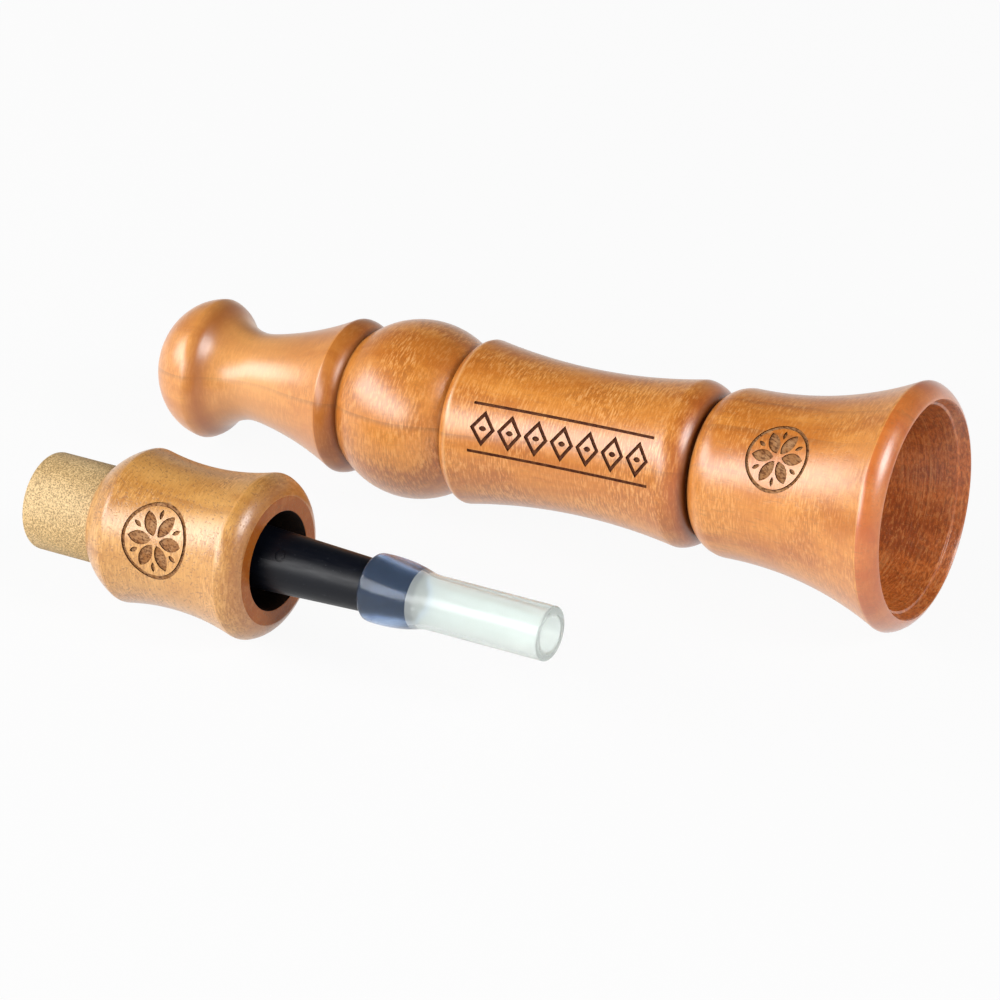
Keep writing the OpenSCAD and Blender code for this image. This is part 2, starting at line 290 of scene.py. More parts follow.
def bow(first, last, rise):
    """Arc between two points with its rise to the right of the way; the last point is left."""
    p, q = Vector(first), Vector(last)
    way = q - p
    half = way.length / 2
    right = Vector((way.y, -way.x)).normalized()
    radius = (half ** 2 + rise ** 2) / (2 * abs(rise))
    sign = math.copysign(1, rise)
    centre = (p + q) / 2 + right * (rise - sign * radius)
    start = math.atan2(p.y - centre.y, p.x - centre.x)
    sweep = 2 * math.asin(min(1, half / radius)) * sign
    steps = max(3, math.ceil(abs(sweep) * radius / OUTLINE_STEP))
    turns = [start + sweep * i / steps for i in range(steps)]
    return [(centre.x + radius * math.cos(t), centre.y + radius * math.sin(t)) for t in turns]


def straight(first, last):
    """Even points on a line; the last point is left."""
    p, q = Vector(first), Vector(last)
    steps = max(1, math.ceil((q - p).length / OUTLINE_STEP))
    return [tuple(p.lerp(q, i / steps)) for i in range(steps)]


def dome(first_radius, last_radius, length, fullness, steps=44):
    """Arc of an ellipse from a small radius to a large one. The ellipse is longer by its fullness, so that
    the dome meets the large radius with a crease. The last point is left."""
    half_length = length * fullness
    last = math.acos(1 - 1 / fullness)
    radius = last_radius / math.sin(last)
    first = math.asin(first_radius / radius)
    turns = [first + (last - first) * i / steps for i in range(steps)]
    return [(radius * math.sin(t), half_length * (1 - math.cos(t))) for t in turns]


def ball(radius, centre, groove_radius, steps=60):
    """Arc of a ball between its two grooves; the last point is left."""
    reach = math.acos(groove_radius / radius)
    turns = [reach * (2 * i / steps - 1) for i in range(steps)]
    return [(radius * math.cos(t), centre + radius * math.sin(t)) for t in turns]


# Modelling

TURN_STEPS = 160
SMOOTH_ANGLE = math.radians(32)
MERGE = 0.002 * MM
SANDING_REACH = 1.5 * MM
SANDING_STRENGTH = 0.5
EASING_STEPS = 4


def start_piece(name):
    """A new mesh object in edit mode that holds one vertex at the origin."""
    bpy.ops.object.select_all(action="DESELECT")
    bpy.ops.mesh.primitive_plane_add(size=MM)
    piece = bpy.context.object
    piece.name = piece.data.name = name
    bpy.ops.object.mode_set(mode="EDIT")
    bpy.ops.mesh.select_mode(type="VERT")
    bpy.ops.mesh.select_all(action="SELECT")
    bpy.ops.mesh.merge(type="CENTER")
    return piece


def draw_loop(points):
    """Draws a closed outline from the one vertex, by extruding it from point to point."""
    bpy.ops.transform.translate(value=points[0])
    for here, there in zip(points, points[1:] + points[:1]):
        bpy.ops.mesh.extrude_region_move(TRANSFORM_OT_translate={"value": there - here})
    bpy.ops.mesh.select_all(action="SELECT")
    bpy.ops.mesh.remove_doubles(threshold=MERGE)


def select_near(piece, points, reach):
    """Selects the vertices within a reach of any of the points."""
    shape = bmesh.from_edit_mesh(piece.data)
    for vertex in shape.verts:
        vertex.select = any((vertex.co - p).length < reach for p in points)
    shape.select_flush_mode()
    bmesh.update_edit_mesh(piece.data)


def close_shell():
    """Merges doubled vertices, turns the faces outwards and leaves edit mode."""
    bpy.ops.mesh.select_all(action="SELECT")
    bpy.ops.mesh.remove_doubles(threshold=MERGE)
    bpy.ops.mesh.normals_make_consistent(inside=False)
    bpy.ops.object.mode_set(mode="OBJECT")


def turn_piece(name, lathe, outline, sanded=(), eased=()):
    """Spins an outline round its axis. Sanded corners are smoothed, as pairs of passes and corners; eased
    ones are bevelled, as pairs of a width and corners."""
    piece = start_piece(name)
    draw_loop([lathe.point(r, place) for r, place in outline])
    for passes, corners in sanded:
        select_near(piece, [lathe.point(r, place) for r, place in corners], SANDING_REACH)
        bpy.ops.mesh.vertices_smooth(factor=SANDING_STRENGTH, repeat=passes)
    for width, corners in eased:
        select_near(piece, [lathe.point(r, place) for r, place in corners], MERGE)
        bpy.ops.mesh.bevel(offset=width, segments=EASING_STEPS, affect="VERTICES")
    bpy.ops.mesh.select_all(action="SELECT")
    bpy.ops.mesh.spin(steps=TURN_STEPS, angle=2 * math.pi, center=lathe.start, axis=lathe.along)
    close_shell()
    return piece


def select_only(*pieces):
    bpy.ops.object.select_all(action="DESELECT")
    for piece in pieces:
        piece.select_set(True)
    bpy.context.view_layer.objects.active = pieces[0]


def cut(piece, cutter):
    """Cuts one shape out of another; the new faces keep the cutter's finish."""
    select_only(piece)
    bpy.ops.object.modifier_add(type="BOOLEAN")
    boolean = piece.modifiers[-1]
    boolean.object = cutter
    boolean.operation = "DIFFERENCE"
    boolean.solver = "EXACT"
    boolean.material_mode = "TRANSFER"
    bpy.ops.object.modifier_apply(modifier=boolean.name)
    bpy.data.objects.remove(cutter)


def plate_cutter(name, points, height):
    """Upright block on a flat outline, from below the surface to above it."""
    cutter = start_piece(name)
    draw_loop([Vector((x, y, -height / 2)) for x, y in points])
    bpy.ops.mesh.edge_face_add()
    bpy.ops.mesh.extrude_region_move(TRANSFORM_OT_translate={"value": (0, 0, height)})
    close_shell()
    return cutter


def ring_cutter(name, sides, radius, width, height, stretch=(1, 1, 1)):
    """Upright ring with round or straight sides, from below the surface to above it."""
    bpy.ops.object.select_all(action="DESELECT")
    bpy.ops.mesh.primitive_circle_add(vertices=sides, radius=radius)
    cutter = bpy.context.object
    cutter.name = name
    bpy.ops.object.mode_set(mode="EDIT")
    bpy.ops.mesh.select_all(action="SELECT")
    bpy.ops.transform.translate(value=(0, 0, -height / 2))
    bpy.ops.mesh.extrude_region()
    narrower = 1 - width / radius
    bpy.ops.transform.resize(value=(narrower, narrower, 1), center_override=(0, 0, 0))
    bpy.ops.mesh.select_all(action="SELECT")
    bpy.ops.transform.resize(value=stretch, center_override=(0, 0, 0))
    bpy.ops.mesh.extrude_region_move(TRANSFORM_OT_translate={"value": (0, 0, height)})
    close_shell()
    return cutter


def copy_at(piece, offset=(0, 0, 0), turn=0.0):
    """A copy with its own mesh, turned about Z and moved."""
    copied = piece.copy()
    copied.data = piece.data.copy()
    bpy.context.collection.objects.link(copied)
    copied.data.transform(Matrix.Translation(offset) @ Matrix.Rotation(turn, 4, "Z"))
    return copied


def join(pieces):
    select_only(*pieces)
    bpy.ops.object.join()
    return bpy.context.object


def engrave(piece, lathe, cutters, seat, core_outline, wall, floor):
    """Cuts a flat pattern into a turned piece, down to a core that lies just under its surface."""
    stamp = join(cutters)
    stamp.data.transform(seat)
    stamp.data.materials.append(wall)
    core = turn_piece("core", lathe, core_outline)
    core.data.materials.append(floor)
    cut(stamp, core)
    cut(piece, stamp)


def give_finishes(piece, lathe, finishes, zone):
    """Gives each face the finish of its zone, by its radius, its place and how far it faces outwards."""
    for finish in finishes:
        piece.data.materials.append(finish)
    for face in piece.data.polygons:
        place, offset = lathe.measure(face.center)
        finish = zone(offset.length, place, face.normal.dot(offset.normalized()))
        face.material_index = finishes.index(finish)


def set_in_frame(piece, body, node):
    """Smooths a finished piece and sets it in the frame in place of its CAD node."""
    select_only(piece)
    bpy.ops.object.shade_smooth_by_angle(angle=SMOOTH_ANGLE)
    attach(piece, body)
    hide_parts(node)


# Shader nodes

def fill_inputs(tree, node, inputs):
    """Sets a node's inputs, each to a value or to another node's output."""
    for socket, value in inputs.items():
        if isinstance(value, bpy.types.NodeSocket):
            tree.links.new(value, node.inputs[socket])
        else:
            node.inputs[socket].default_value = value


def add_node(tree, kind, inputs=None, **settings):
    node = tree.nodes.new(kind)
    for name, value in settings.items():
        setattr(node, name, value)
    fill_inputs(tree, node, inputs or {})
    return node


def arithmetic(tree, operation, first, second=0.0):
    return add_node(tree, "ShaderNodeMath", {0: first, 1: second}, operation=operation).outputs[0]


def product(tree, first, *factors):
    for factor in factors:
        first = arithmetic(tree, "MULTIPLY", first, factor)
    return first


def remap(tree, value, low, high, to_low=0.0, to_high=1.0):
    """A value carried smoothly from one range to another."""
    inputs = {"Value": value, "From Min": low, "From Max": high, "To Min": to_low, "To Max": to_high}
    return add_node(tree, "ShaderNodeMapRange", inputs, interpolation_type="SMOOTHSTEP").outputs["Result"]


MIX_A, MIX_B, MIX_RESULT = 6, 7, 2


def mix(tree, factor, first, second):
    inputs = {0: factor, MIX_A: first, MIX_B: second}
    return add_node(tree, "ShaderNodeMix", inputs, data_type="RGBA").outputs[MIX_RESULT]


def mapped(tree, vector, scale=(1, 1, 1), turn=(0, 0, 0), location=(0, 0, 0)):
    inputs = {"Vector": vector, "Scale": scale, "Rotation": turn, "Location": location}
    return add_node(tree, "ShaderNodeMapping", inputs).outputs[0]


def noise(tree, vector, scale, detail=2.0, roughness=0.5, distortion=0.0):
    """Noise with a frequency for each axis."""
    inputs = {"Vector": mapped(tree, vector, scale), "Scale": 1.0, "Detail": detail, "Roughness": roughness,
              "Distortion": distortion}
    return add_node(tree, "ShaderNodeTexNoise", inputs).outputs["Fac"]


def solid(colour):
    return (*colour, 1.0)


# Colours that no setting holds, as linear light

GROWTH_LINE = (0.25, 0.085, 0.022, 1)
DARK_FLECK = (0.33, 0.10, 0.016, 1)
PALE_FLECK = (0.92, 0.50, 0.19, 1)
DARK_PORE = (0.30, 0.13, 0.04, 1)
HOLLOW_SHADE = (0.22, 0.05, 0.006, 1)
HOLLOW_LIGHT = (0.85, 0.36, 0.11, 1)
TOOL_LIGHT = (0.80, 0.34, 0.12, 1)
ASH = (0.42, 0.22, 0.10, 1)
SOOT = (0.14, 0.05, 0.02, 1)
PLASTIC_DUST = (0.13, 0.14, 0.16, 1)
BOARD_SHADE = (0.03, 0.03, 0.034, 1)
TARNISH = (0.38, 0.22, 0.07, 1)
CORK_SHADE = (0.34, 0.19, 0.08, 1)
CORK_CHANNEL = (0.10, 0.05, 0.02, 1)
LINT = (0.95, 0.96, 0.97, 1)
CLEAR_SILICONE = (0.42, 0.56, 0.80)
CLEAR_CLOUD = (0.36, 0.50, 0.74, 1)
MILKY_CLOUD = (0.93, 0.98, 0.95, 1)
PALE_FLOOR = (0.90, 0.90, 0.90, 1)
STUDIO_LIGHT = (0.97, 0.98, 1, 1)
WHITE = (1, 1, 1, 1)


# Shared node groups

FLOAT, COLOUR, VECTOR = "NodeSocketFloat", "NodeSocketColor", "NodeSocketVector"


def new_group(name, inputs, outputs):
    """A shader node group with its input and output sockets; each is a name and a kind."""
    group = bpy.data.node_groups.new(name, "ShaderNodeTree")
    for socket, kind in inputs:
        group.interface.new_socket(socket, in_out="INPUT", socket_type=kind)
    for socket, kind in outputs:
        group.interface.new_socket(socket, in_out="OUTPUT", socket_type=kind)
    return group, group.nodes.new("NodeGroupInput").outputs, group.nodes.new("NodeGroupOutput").inputs


PITH_DEPTH = 60 * MM
PITH_STRETCH = (0.035, 1, 1)
RING_WIDTH = 6.5 * MM


def growth_lines(group, given):
    """Mask of the dark line that ends each growth ring, near the ring that passes through the axis."""
    place = given["Vector"]
    from_pith = mapped(group, place, PITH_STRETCH, given["Line Turn"], (0, 0, PITH_DEPTH))
    radius = add_node(group, "ShaderNodeVectorMath", {0: from_pith}, operation="LENGTH").outputs["Value"]
    depth = arithmetic(group, "SUBTRACT", radius, PITH_DEPTH)
    wander = remap(group, noise(group, place, (22, 45, 45)), 0.2, 0.8, 0.75, 1.2)
    rings = arithmetic(group, "ADD", arithmetic(group, "DIVIDE", depth, RING_WIDTH), wander)
    phase = arithmetic(group, "FRACT", rings)
    dark = product(group, remap(group, phase, 0.82, 0.97), remap(group, phase, 1.0, 0.975))
    away = arithmetic(group, "DIVIDE", arithmetic(group, "ABSOLUTE", depth), given["Line Reach"])
    near = remap(group, away, 0.6, 1, 1, 0)
    patchy = remap(group, noise(group, place, (25, 60, 60)), 0.38, 0.60, 0.2, 1)
    return product(group, dark, near, patchy)


def build_wood_grain():
    """Wood in lathe coordinates, X along the axis: broad tones, growth lines, crosswise flecks and pores."""
    group, given, result = new_group(
        "Wood grain",
        [
            ("Vector", VECTOR),
            ("Pale", COLOUR),
            ("Deep", COLOUR),
            ("Line Turn", VECTOR),
            ("Line Reach", FLOAT),
            ("Line Strength", FLOAT),
            ("Fleck Strength", FLOAT),
            ("Pore Turn", VECTOR),
            ("Pore Strength", FLOAT),
        ],
        [("Color", COLOUR), ("Height", FLOAT), ("Gloss", FLOAT)],
    )
    place = given["Vector"]
    broad = noise(group, place, (45, 170, 170), detail=4, roughness=0.6, distortion=0.4)
    tone = mix(group, remap(group, broad, 0.32, 0.68), given["Deep"], given["Pale"])
    line = growth_lines(group, given)
    tone = mix(group, product(group, line, given["Line Strength"]), tone, GROWTH_LINE)

    fleck = noise(group, place, (3300, 640, 640), detail=3, roughness=0.65)
    patchy = remap(group, noise(group, place, (90, 110, 110), detail=3), 0.40, 0.60, 0.35, 1)
    patchy = product(group, patchy, given["Fleck Strength"])
    tone = mix(group, product(group, remap(group, fleck, 0.46, 0.62), patchy), tone, DARK_FLECK)
    tone = mix(group, product(group, remap(group, fleck, 0.50, 0.36), patchy), tone, PALE_FLECK)

    pore = noise(group, mapped(group, place, turn=given["Pore Turn"]), (360, 3000, 3000))
    pore = product(group, remap(group, pore, 0.54, 0.70), given["Pore Strength"])
    tone = mix(group, pore, tone, DARK_PORE)

    group.links.new(tone, result["Color"])
    group.links.new(arithmetic(group, "SUBTRACT", product(group, fleck, 0.5), pore), result["Height"])
    group.links.new(remap(group, arithmetic(group, "ADD", broad, pore), 0.3, 1.1), result["Gloss"])
    return group


def build_crease():
    """Mask that is 1 at a place along the axis and falls to 0 within a reach."""
    group, given, result = new_group(
        "Crease", [("Along", FLOAT), ("Place", FLOAT), ("Reach", FLOAT)], [("Mask", FLOAT)])
    away = arithmetic(group, "ABSOLUTE", arithmetic(group, "SUBTRACT", given["Along"], given["Place"]))
    group.links.new(remap(group, arithmetic(group, "DIVIDE", away, given["Reach"]), 1, 0), result["Mask"])
    return group


def build_tool_marks():
    """Fine rings that a turning tool leaves, broken up round the piece."""
    group, given, result = new_group(
        "Tool marks", [("Vector", VECTOR)], [("Height", FLOAT), ("Mask", FLOAT)])
    rings = noise(group, given["Vector"], (2600, 40, 40), detail=3, roughness=0.65)
    broken = remap(group, noise(group, given["Vector"], (300, 140, 140), detail=3), 0.38, 0.62)
    group.links.new(rings, result["Height"])
    group.links.new(product(group, remap(group, rings, 0.48, 0.68), broken), result["Mask"])
    return group


GROUPS = {"Wood grain": build_wood_grain, "Crease": build_crease, "Tool marks": build_tool_marks}


def place_group(tree, name, inputs):
    """Places a shared node group, which is built at its first use."""
    node = add_node(tree, "ShaderNodeGroup", node_tree=bpy.data.node_groups.get(name) or GROUPS[name]())
    fill_inputs(tree, node, inputs)
    return node.outputs


def new_material(name):
    """A material with its tree and its Principled shader."""
    material = bpy.data.materials.new(name)
    material.use_nodes = True
    return material, material.node_tree, material.node_tree.nodes["Principled BSDF"]


def object_coordinates(tree):
    return add_node(tree, "ShaderNodeTexCoord").outputs["Object"]


def lathe_coordinates(tree, lathe):
    """Object coordinates laid along a turning axis."""
    where = object_coordinates(tree)
    inputs = {"Vector": where, "Location": lathe.start, "Rotation": lathe.rotation().to_euler()}
    return add_node(tree, "ShaderNodeMapping", inputs, vector_type="TEXTURE").outputs[0]


def finish_surface(tree, shader, colour, roughness, height, depth):
    """Links a colour, a roughness and a bump of the given depth to a Principled shader."""
    bump = add_node(tree, "ShaderNodeBump", {"Height": height, "Distance": depth})
    fill_inputs(tree, shader, {"Base Color": colour, "Roughness": roughness, "Normal": bump.outputs[0]})


# Finishes

ALONG_AXIS = (0, 0, 0)
SLANTWISE = (0, 0.5, 0.65)
LINE_IN_FRONT = (math.radians(29), 0, 0)
LINE_ON_TOP = (math.radians(68), 0, 0)
BURNING_TURN = (0, 0, 0.5)
FLECK_BLEND = 3 * MM
TOOL_MARK_SHARE = 0.6
SILICONE_IOR = 1.41


def oiled_wood(name, lathe, pale, deep, grain_inputs, flecks, creases, coat=0.5, gloss=0.8):
    """Oiled wood. The flecks are a place along the axis and their strengths before and after it. Each crease
    is a band of painted shade, painted highlight or end grain round the axis: a place along the axis, its
    reach, its strength and its colour. The coat is how much oil lies on the wood, and the gloss is how much
    the wood itself shines."""
    material, tree, shader = new_material(name)
    place = lathe_coordinates(tree, lathe)
    along = add_node(tree, "ShaderNodeSeparateXYZ", {0: place}).outputs["X"]
    change, before, after = flecks
    grain = place_group(tree, "Wood grain", {
        "Vector": place, "Pale": solid(pale), "Deep": solid(deep), **grain_inputs,
        "Fleck Strength": remap(tree, along, change - FLECK_BLEND, change + FLECK_BLEND, before, after)})
    colour = grain["Color"]
    for at, reach, strength, crease_colour in creases:
        mask = place_group(tree, "Crease", {"Along": along, "Place": at, "Reach": reach})["Mask"]
        colour = mix(tree, product(tree, mask, strength), colour, solid(crease_colour))
    marks = place_group(tree, "Tool marks", {"Vector": place})
    height = arithmetic(tree, "ADD", grain["Height"], product(tree, marks["Height"], TOOL_MARK_SHARE))
    roughness = remap(tree, grain["Gloss"], 0, 1, to_low=0.31, to_high=0.41)
    finish_surface(tree, shader, colour, roughness, height, depth=0.03 * MM)
    shader.inputs["Specular IOR Level"].default_value = gloss
    shader.inputs["Coat Weight"].default_value = coat
    shader.inputs["Coat Roughness"].default_value = 0.32
    return material


def hollow_wood(colours, lathe):
    """Turned hollow of the bell: darker and redder, mottled, with the rings that the tool left."""
    material, tree, shader = new_material("cherry_hollow")
    place = lathe_coordinates(tree, lathe)
    grain = place_group(tree, "Wood grain", {
        "Vector": place, "Pale": solid(colours.hollow_pale), "Deep": solid(colours.hollow_deep),
        "Line Turn": LINE_ON_TOP, "Line Reach": 9 * MM, "Line Strength": 0.3, "Fleck Strength": 0.0,
        "Pore Turn": ALONG_AXIS, "Pore Strength": 0.3})
    marks = place_group(tree, "Tool marks", {"Vector": place})
    mottle = noise(tree, place, (2600, 900, 900), detail=3, roughness=0.65)
    colour = mix(tree, remap(tree, mottle, 0.48, 0.64, to_high=0.6), grain["Color"], HOLLOW_SHADE)
    colour = mix(tree, remap(tree, mottle, 0.48, 0.36, to_high=0.4), colour, HOLLOW_LIGHT)
    colour = mix(tree, product(tree, marks["Mask"], 0.5), colour, TOOL_LIGHT)
    height = arithmetic(tree, "ADD", marks["Height"], grain["Height"])
    roughness = remap(tree, grain["Gloss"], 0, 1, to_low=0.32, to_high=0.44)
    finish_surface(tree, shader, colour, roughness, height, depth=0.06 * MM)
    shader.inputs["Coat Weight"].default_value = 0.6
    shader.inputs["Coat Roughness"].default_value = 0.28
    return material


def bare_wood(name, lathe, pale, deep):
    """Wood left bare: dry and full of fine dark pores."""
    material, tree, shader = new_material(name)
    place = lathe_coordinates(tree, lathe)
    grain = place_group(tree, "Wood grain", {
        "Vector": place, "Pale": solid(pale), "Deep": solid(deep),
        "Line Turn": LINE_IN_FRONT, "Line Reach": 5 * MM, "Line Strength": 0.05, "Fleck Strength": 0.05,
        "Pore Turn": SLANTWISE, "Pore Strength": 0.2})
    speck = noise(tree, place, (3800, 3800, 3800), roughness=0.6)
    dark = tuple(0.5 * c for c in deep)
    light = tuple(min(1, 1.3 * c) for c in pale)
    colour = mix(tree, remap(tree, speck, 0.49, 0.64, to_high=0.9), grain["Color"], solid(dark))
    colour = mix(tree, remap(tree, speck, 0.49, 0.36, to_high=0.8), colour, solid(light))
    height = arithmetic(tree, "SUBTRACT", grain["Height"], speck)
    roughness = remap(tree, grain["Gloss"], 0, 1, to_low=0.62, to_high=0.8)
    finish_surface(tree, shader, colour, roughness, height, depth=0.03 * MM)
    return material


def scorched_wood(colours, lathe):
    """Floor of burnt carving, with the fine lines of the burning pass."""
    material, tree, shader = new_material("scorched_wood")
    place = lathe_coordinates(tree, lathe)
    passes = noise(tree, mapped(tree, place, turn=BURNING_TURN), (900, 3200, 3200), roughness=0.6)
    soot = noise(tree, place, (700, 700, 700), detail=3)
    pale = mix(tree, remap(tree, soot, 0.3, 0.7), solid(colours.scorched), ASH)
    colour = mix(tree, remap(tree, passes, 0.46, 0.66, to_high=0.75), pale, solid(colours.charred))
    roughness = remap(tree, soot, 0.3, 0.7, to_low=0.7, to_high=0.9)
    finish_surface(tree, shader, colour, roughness, passes, depth=0.05 * MM)
    shader.inputs["Specular IOR Level"].default_value = 0.2
    return material


def charred_wood(colours):
    """Walls and lines of burnt carving."""
    material, tree, shader = new_material("charred_wood")
    soot = noise(tree, object_coordinates(tree), (1500, 1500, 1500), detail=3)
    colour = mix(tree, remap(tree, soot, 0.35, 0.7), solid(colours.charred), SOOT)
    roughness = remap(tree, soot, 0.3, 0.7, to_low=0.65, to_high=0.9)
    finish_surface(tree, shader, colour, roughness, soot, depth=0.02 * MM)
    shader.inputs["Specular IOR Level"].default_value = 0.2
    return material


def black_plastic(colours):
    """Moulded black plastic with a satin skin, fine dust and faint scuffs."""
    material, tree, shader = new_material("black_plastic")
    where = object_coordinates(tree)
    skin = noise(tree, where, (900, 900, 900), detail=3)
    scuff = noise(tree, where, (260, 2600, 2600), detail=3)
    dust = remap(tree, noise(tree, where, (3800, 3800, 3800), detail=1), 0.70, 0.80, to_high=0.3)
    colour = mix(tree, dust, solid(colours.black_plastic), PLASTIC_DUST)
    roughness = remap(tree, scuff, 0.3, 0.75, to_low=0.34, to_high=0.46)
    finish_surface(tree, shader, colour, roughness, skin, depth=0.008 * MM)
    shader.inputs["Specular IOR Level"].default_value = 0.3
    return material


def board_plastic(colours):
    """Matt moulded plastic of the tone boards."""
    material, tree, shader = new_material("board_plastic")
    where = object_coordinates(tree)
    skin = noise(tree, where, (1600, 1600, 1600), detail=3)
    cloud = noise(tree, where, (160, 160, 160))
    shade = remap(tree, cloud, 0.35, 0.65, to_high=0.5)
    colour = mix(tree, shade, solid(colours.board_plastic), BOARD_SHADE)
    roughness = remap(tree, skin, 0.3, 0.7, to_low=0.48, to_high=0.66)
    finish_surface(tree, shader, colour, roughness, skin, depth=0.015 * MM)
    return material


def rolled_brass(colours):
    """Rolled brass strip: fine lines along it and a faint tarnish."""
    material, tree, shader = new_material("reed_brass")
    where = object_coordinates(tree)
    lines = noise(tree, where, (120, 9000, 9000))
    tarnish = noise(tree, where, (240, 500, 500), detail=3)
    colour = mix(tree, remap(tree, tarnish, 0.45, 0.75, to_high=0.5), solid(colours.brass), TARNISH)
    roughness = remap(tree, lines, 0.3, 0.7, to_low=0.18, to_high=0.36)
    finish_surface(tree, shader, colour, roughness, lines, depth=0.004 * MM)
    shader.inputs["Metallic"].default_value = 1.0
    return material


def cut_cork(colours):
    """Cut cork: pale cells with dark channels."""
    material, tree, shader = new_material("cork")
    where = object_coordinates(tree)
    cells = add_node(tree, "ShaderNodeTexVoronoi", {"Vector": where, "Scale": 1500.0}).outputs["Distance"]
    channels = noise(tree, where, (420, 900, 900), detail=3)
    colour = mix(tree, remap(tree, cells, 0.2, 0.7, to_high=0.4), solid(colours.cork), CORK_SHADE)
    colour = mix(tree, remap(tree, channels, 0.60, 0.68, to_high=0.8), colour, CORK_CHANNEL)
    height = arithmetic(tree, "SUBTRACT", cells, channels)
    roughness = remap(tree, cells, 0.1, 0.7, to_low=0.75, to_high=0.95)
    finish_surface(tree, shader, colour, roughness, height, depth=0.05 * MM)
    return material


def silicone(name, lathe, colour, cloudy, transmission, smooth, rough, gloss):
    """Soft silicone: faintly clouded, with specks of lint on a satin skin that runs from smooth to rough."""
    material, tree, shader = new_material(name)
    place = lathe_coordinates(tree, lathe)
    cloud = noise(tree, place, (60, 160, 160))
    speck = remap(tree, noise(tree, place, (1800, 1800, 1800), detail=1), 0.76, 0.80, to_high=0.5)
    base = mix(tree, remap(tree, cloud, 0.3, 0.7), solid(colour), cloudy)
    base = mix(tree, speck, base, LINT)
    roughness = remap(tree, cloud, 0.3, 0.7, smooth, rough)
    finish_surface(tree, shader, base, roughness, cloud, depth=0.003 * MM)
    shader.inputs["Specular IOR Level"].default_value = gloss
    shader.inputs["Transmission Weight"].default_value = transmission
    shader.inputs["IOR"].default_value = SILICONE_IOR
    return material


# Carving

CARVING_DEPTH = 0.3 * MM
CUTTER_HEIGHT = 6 * MM
CORE_BORE = 6 * MM


def core_of(outline):
    """Closed outline of the core under a carved stretch."""
    sunk = [(r - CARVING_DEPTH, place) for r, place in outline]
    return sunk + [(CORE_BORE, sunk[-1][1]), (CORE_BORE, sunk[0][1])]


def leaf(first, last, half_width):
    """Flat outline of a pointed leaf that lies along X."""
    return bow((first, 0), (last, 0), half_width) + bow((last, 0), (first, 0), half_width)


def rosette_cutters(diameter):
    """Six-petalled rosette in a ring, with a seed between each two petals."""
    petals = 6
    pitch = 360 / petals
    radius = diameter / 2
    tip = 0.82 * radius
    petal = plate_cutter("petal", leaf(0.13 * radius, tip, half_width=0.18 * radius), CUTTER_HEIGHT)
    seed = plate_cutter("seed", leaf(0.56 * radius, tip, half_width=0.06 * radius), CUTTER_HEIGHT)
    cutters = [ring_cutter("ring", 64, radius, width=0.1 * radius, height=CUTTER_HEIGHT)]
    for i in range(petals):
        cutters.append(copy_at(petal, turn=math.radians(pitch * i)))
        cutters.append(copy_at(seed, turn=math.radians(pitch * i + pitch / 2)))
    for pattern in (petal, seed):
        bpy.data.objects.remove(pattern)
    return cutters


def band_cutters(length, height):
    """Row of lozenges with a seed in each, between two fine lines."""
    count = 7
    pitch = length / count
    line = 0.48 * MM
    wall = 1.6 * line
    margin = 2.6 * line
    gap = 0.35 * MM
    half_long = pitch / 2 - gap / 2
    half_high = height / 2 - margin
    flattened = (1, half_high / half_long, 1)
    lozenge = ring_cutter("lozenge", 4, half_long, wall, CUTTER_HEIGHT, flattened)
    seed = plate_cutter("seed", leaf(-0.3 * half_long, 0.3 * half_long, 0.2 * half_long), CUTTER_HEIGHT)
    ends = straight((-length / 2, -line / 2), (length / 2, -line / 2)) + [(length / 2, -line / 2)]
    border = plate_cutter("border", ends + [(x, -y) for x, y in reversed(ends)], CUTTER_HEIGHT)
    cutters = [copy_at(border, (0, side * (height - line) / 2, 0)) for side in (-1, 1)]
    for i in range(count):
        offset = ((i - (count - 1) / 2) * pitch, 0, 0)
        cutters += [copy_at(lozenge, offset), copy_at(seed, offset)]
    for pattern in (lozenge, seed, border):
        bpy.data.objects.remove(pattern)
    return cutters


# Pieces

SHOULDER_RISE = 0.5 * MM
CHAMFER = 0.7 * MM
TOUCH = 0.05 * MM

KNOB_FULLNESS = 1.12
KNOB_BACK_DEPTH = 1 * MM
KNOB_BACK_LENGTH = 2 * MM
KNOB_BACK_RISE = 0.1 * MM
NECK_HOLLOW = 1.4 * MM
CONE_HOLLOW = 0.65 * MM
CHAMBER_OFFSET = 4 * MM
MOUTH_EASING = 0.25 * MM


